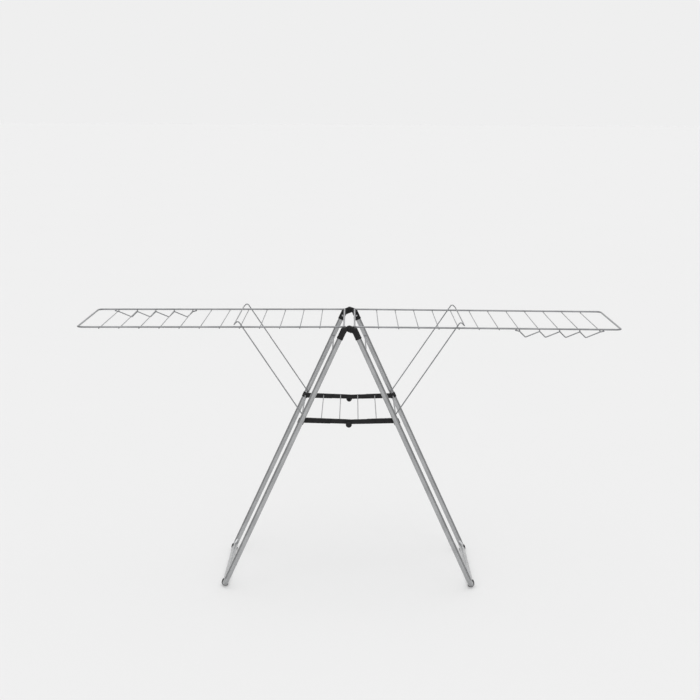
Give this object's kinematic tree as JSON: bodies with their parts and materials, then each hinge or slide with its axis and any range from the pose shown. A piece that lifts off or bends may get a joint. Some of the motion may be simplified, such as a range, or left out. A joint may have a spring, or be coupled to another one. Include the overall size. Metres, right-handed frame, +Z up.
{
  "type": "clothes drying rack",
  "caption": "Folding A-frame clothes airer: two U-shaped tube legs on a top hinge, two level wire wings on wire stays, and a folding spreader.",
  "frame": {"origin": "on the floor, under the middle of the rack, at the bottom centre of its bounding box", "axes": "+X along the rack's length towards the right wing, +Y from front to rear, +Z up"},
  "size_m": [1.82, 0.6046, 0.9057],
  "materials": {
    "leg_tube_steel": "satin metallic grey powder coat",
    "wire_steel": "satin metallic grey powder coat on wire",
    "moulded_plastic": "fine-grained moulded nylon, near black",
    "pin_steel": "cold-headed steel with a black oxide film"
  },
  "bodies": {
    "left_leg_frame": {"left_leg_tube": "leg_tube_steel", "left_leg_cross_brace": "wire_steel", "left_spreader_rod": "wire_steel", "front_left_hinge_socket": "moulded_plastic", "front_left_spreader_bracket": "moulded_plastic", "front_left_foot_clip": "moulded_plastic", "rear_left_hinge_socket": "moulded_plastic", "rear_left_spreader_bracket": "moulded_plastic", "rear_left_foot_clip": "moulded_plastic", "front_hinge_pin": "pin_steel", "rear_hinge_pin": "pin_steel"},
    "right_leg_frame": {"right_leg_tube": "leg_tube_steel", "right_leg_cross_brace": "wire_steel", "right_spreader_rod": "wire_steel", "front_right_hinge_socket": "moulded_plastic", "front_right_spreader_bracket": "moulded_plastic", "front_right_foot_clip": "moulded_plastic", "rear_right_hinge_socket": "moulded_plastic", "rear_right_spreader_bracket": "moulded_plastic", "rear_right_foot_clip": "moulded_plastic"},
    "left_wing": {"left_wing_frame": "wire_steel", "left_hanger_rail": "wire_steel", "left_wing_rod_01": "wire_steel", "left_wing_rod_02": "wire_steel", "left_wing_rod_03": "wire_steel", "left_wing_rod_04": "wire_steel", "left_wing_rod_05": "wire_steel", "left_wing_rod_06": "wire_steel", "left_wing_rod_07": "wire_steel", "left_wing_rod_08": "wire_steel", "left_wing_rod_09": "wire_steel", "left_wing_rod_10": "wire_steel", "left_wing_rod_11": "wire_steel", "left_wing_rod_12": "wire_steel"},
    "left_stay": {"left_wing_stay": "wire_steel"},
    "left_spreader_half": {"front_left_spreader_bar": "moulded_plastic", "rear_left_spreader_bar": "moulded_plastic", "rear_spreader_knob": "moulded_plastic", "left_spreader_wire_1": "wire_steel", "left_spreader_wire_2": "wire_steel"},
    "right_wing": {"right_wing_frame": "wire_steel", "right_hanger_rail": "wire_steel", "right_wing_rod_01": "wire_steel", "right_wing_rod_02": "wire_steel", "right_wing_rod_03": "wire_steel", "right_wing_rod_04": "wire_steel", "right_wing_rod_05": "wire_steel", "right_wing_rod_06": "wire_steel", "right_wing_rod_07": "wire_steel", "right_wing_rod_08": "wire_steel", "right_wing_rod_09": "wire_steel", "right_wing_rod_10": "wire_steel", "right_wing_rod_11": "wire_steel", "right_wing_rod_12": "wire_steel"},
    "right_stay": {"right_wing_stay": "wire_steel"},
    "right_spreader_half": {"front_right_spreader_bar": "moulded_plastic", "rear_right_spreader_bar": "moulded_plastic", "front_spreader_knob": "moulded_plastic", "right_spreader_wire_1": "wire_steel", "right_spreader_wire_2": "wire_steel"}
  },
  "joints": [
    {"name": "leg_fold", "type": "hinge", "parent": "left_leg_frame", "child": "right_leg_frame", "pos_m": [0, 0, 0.8815], "axis": [0, 1, 0], "range_deg": [0, 45]},
    {"name": "left_wing_fold", "type": "hinge", "parent": "left_leg_frame", "child": "left_wing", "pos_m": [-0.018, 0, 0.8875], "axis": [0, -1, 0], "range_deg": [0, 60]},
    {"name": "right_wing_fold", "type": "hinge", "parent": "right_leg_frame", "child": "right_wing", "pos_m": [0.018, 0, 0.8875], "axis": [0, 1, 0], "range_deg": [0, 60]},
    {"name": "left_stay_swing", "type": "hinge", "parent": "left_leg_frame", "child": "left_stay", "pos_m": [-0.15221, 0, 0.58718], "axis": [0, -1, 0], "range_deg": [0, 99]},
    {"name": "right_stay_swing", "type": "hinge", "parent": "right_leg_frame", "child": "right_stay", "pos_m": [0.15221, 0, 0.58718], "axis": [0, 1, 0], "range_deg": [0, 99]},
    {"name": "left_spreader_fold", "type": "hinge", "parent": "left_leg_frame", "child": "left_spreader_half", "pos_m": [-0.15953, 0, 0.57128], "axis": [0, -1, 0], "range_deg": [0, 64]},
    {"name": "right_spreader_fold", "type": "hinge", "parent": "right_leg_frame", "child": "right_spreader_half", "pos_m": [0.15953, 0, 0.57128], "axis": [0, 1, 0], "range_deg": [0, 64]}
  ],
  "couplings": [
    {"joint": "left_spreader_fold", "follows": "leg_fold", "ratio": 1.4},
    {"joint": "right_spreader_fold", "follows": "leg_fold", "ratio": 1.4},
    {"joint": "left_stay_swing", "follows": "left_wing_fold", "ratio": 1.64},
    {"joint": "right_stay_swing", "follows": "right_wing_fold", "ratio": 1.64}
  ]
}
